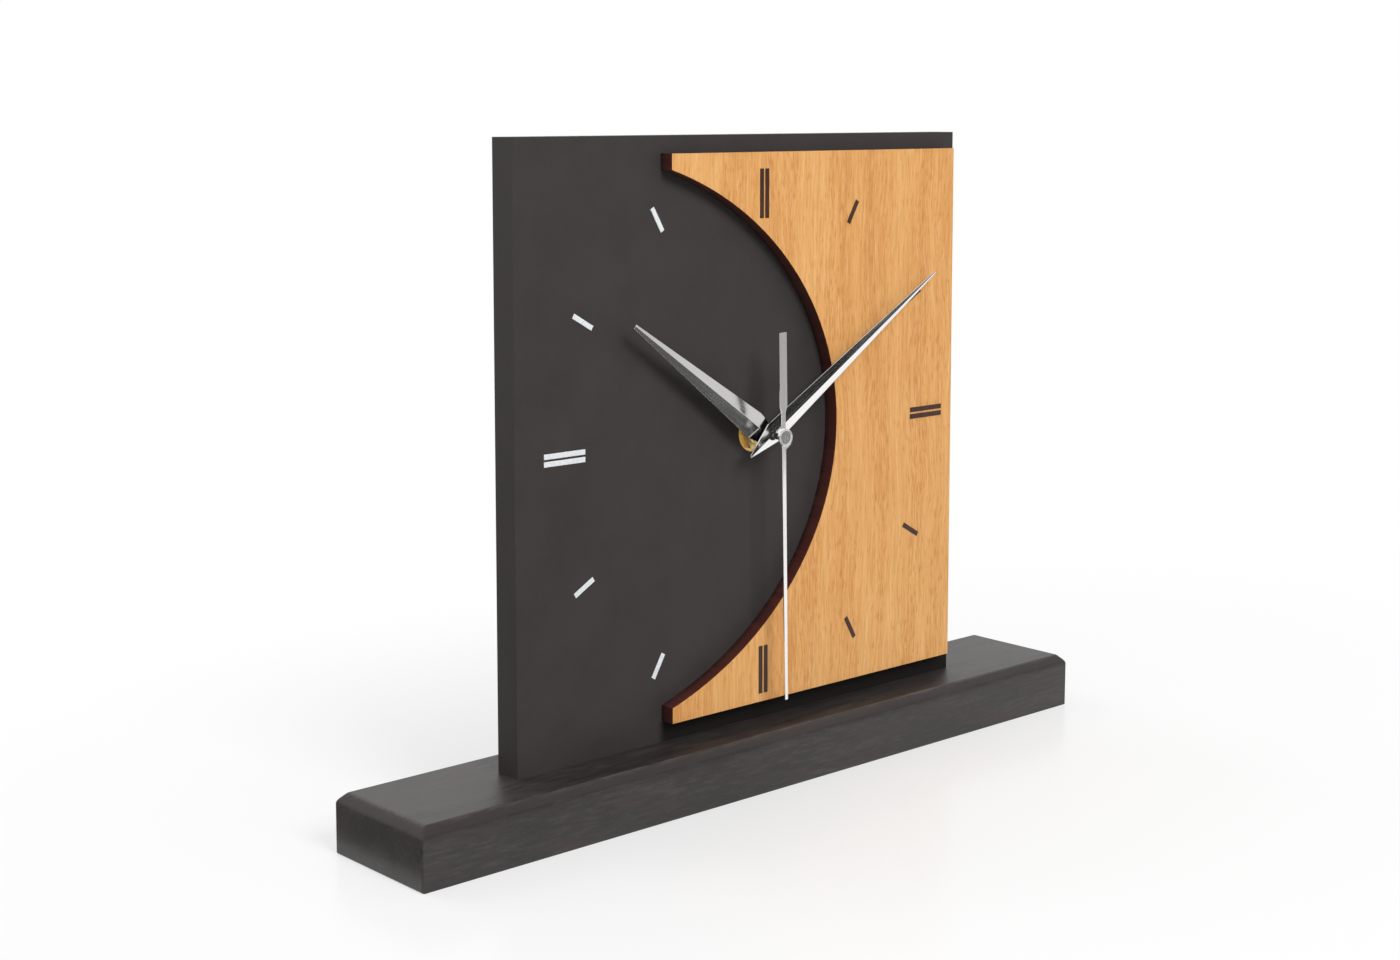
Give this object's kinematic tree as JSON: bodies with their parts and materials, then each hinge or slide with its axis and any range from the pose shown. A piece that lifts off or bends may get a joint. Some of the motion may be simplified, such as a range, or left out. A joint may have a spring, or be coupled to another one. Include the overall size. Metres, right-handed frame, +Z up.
{
  "type": "table clock",
  "caption": "Table clock: a dark upright board in a low plinth, an oak-faced overlay with a concave edge, bar hour marks and folded metal hands turned by a quartz movement.",
  "frame": {"origin": "middle of the plinth's underside, where the clock rests", "axes": "+Z up, -Y out of the dial towards the viewer, +X towards 3 o'clock along the plinth"},
  "size_m": [0.297, 0.0466, 0.2185],
  "materials": {
    "stained_plinth": "matt black-brown stain with fine grain",
    "stained_board": "matt black-brown stain on smooth fibreboard",
    "hardboard": "dense red-brown core, darker at the cut edge",
    "oak": "oiled oak veneer with upright grain",
    "white_mark": "matt white foil",
    "brown_mark": "matt dark brown foil",
    "brass": "bright turned brass",
    "polished_steel": "finely brushed, bright",
    "needle_metal": "satin",
    "steel": "zinc plated",
    "black_rubber": "matt",
    "black_plastic": "fine moulded texture",
    "wheel_plastic": "natural acetal",
    "white_plastic": "white acetal",
    "magnet": "bare sintered magnet",
    "soft_iron": "bare punched sheet",
    "copper_wire": "enamelled winding",
    "board_green": "solder mask",
    "contact_metal": "nickel plated spring strip",
    "cell_sleeve": "plain printed film without words"
  },
  "bodies": {
    "clock_frame": {"plinth": "stained_plinth", "dial_panel": "stained_board", "overlay_core": "hardboard", "oak_veneer": "oak", "light_markers": "white_mark", "dark_markers": "brown_mark", "panel_screws": "steel", "seal_washer": "black_rubber", "brass_washer": "brass", "hex_nut": "brass", "shaft_bush": "brass", "movement_case": "black_plastic", "rear_cover": "black_plastic", "train_bridge": "wheel_plastic", "stator": "soft_iron", "coil_core": "soft_iron", "coil_bobbin": "white_plastic", "coil_winding": "copper_wire", "circuit_board": "board_green", "quartz_crystal": "contact_metal", "chip_cover": "black_plastic", "positive_contact": "contact_metal", "negative_contact": "contact_metal"},
    "minute": {"cannon_pinion": "black_plastic", "clutch_spring": "contact_metal", "minute_hand": "polished_steel"},
    "hour": {"hour_wheel": "black_plastic", "hour_hand": "polished_steel"},
    "second": {"second_arbor": "steel", "second_wheel": "wheel_plastic", "second_hand": "needle_metal", "second_hand_cap": "steel"},
    "centre_drive": {"centre_wheel": "wheel_plastic"},
    "third_drive": {"third_wheel": "wheel_plastic"},
    "intermediate_drive": {"intermediate_wheel": "wheel_plastic"},
    "rotor": {"rotor_pinion": "white_plastic", "rotor_magnet": "magnet"},
    "setter": {"motion_wheel": "wheel_plastic", "set_knob": "black_plastic"},
    "battery": {"battery_can": "contact_metal", "battery_sleeve": "cell_sleeve"}
  },
  "joints": [
    {"name": "minute_hand_turn", "type": "hinge", "parent": "clock_frame", "child": "minute", "pos_m": [0, 0, 0.1185], "axis": [0, 1, 0], "continuous": true},
    {"name": "hour_hand_turn", "type": "hinge", "parent": "clock_frame", "child": "hour", "pos_m": [0, 0, 0.1185], "axis": [0, 1, 0], "continuous": true},
    {"name": "set_knob_turn", "type": "hinge", "parent": "clock_frame", "child": "setter", "pos_m": [0.012, 0, 0.1185], "axis": [0, 1, 0], "continuous": true},
    {"name": "second_hand_turn", "type": "hinge", "parent": "clock_frame", "child": "second", "pos_m": [0, 0, 0.1185], "axis": [0, 1, 0], "continuous": true},
    {"name": "intermediate_turn", "type": "hinge", "parent": "clock_frame", "child": "intermediate_drive", "pos_m": [-0.00301, 0, 0.12634], "axis": [0, 1, 0], "continuous": true},
    {"name": "rotor_turn", "type": "hinge", "parent": "clock_frame", "child": "rotor", "pos_m": [0, 0, 0.13418], "axis": [0, 1, 0], "continuous": true},
    {"name": "third_wheel_turn", "type": "hinge", "parent": "clock_frame", "child": "third_drive", "pos_m": [-0.0108, 0, 0.1185], "axis": [0, 1, 0], "continuous": true},
    {"name": "centre_wheel_turn", "type": "hinge", "parent": "clock_frame", "child": "centre_drive", "pos_m": [0, 0, 0.1185], "axis": [0, 1, 0], "continuous": true},
    {"name": "battery_slide", "type": "slide", "parent": "clock_frame", "child": "battery", "axis": [0, 1, 0], "range_m": [0, 0.03]}
  ],
  "couplings": [
    {"joint": "hour_hand_turn", "follows": "minute_hand_turn", "ratio": 0.083333},
    {"joint": "set_knob_turn", "follows": "minute_hand_turn", "ratio": -0.33333},
    {"joint": "intermediate_turn", "follows": "second_hand_turn", "ratio": -6},
    {"joint": "rotor_turn", "follows": "second_hand_turn", "ratio": 30},
    {"joint": "third_wheel_turn", "follows": "second_hand_turn", "ratio": -0.13333},
    {"joint": "centre_wheel_turn", "follows": "second_hand_turn", "ratio": 0.016667}
  ]
}
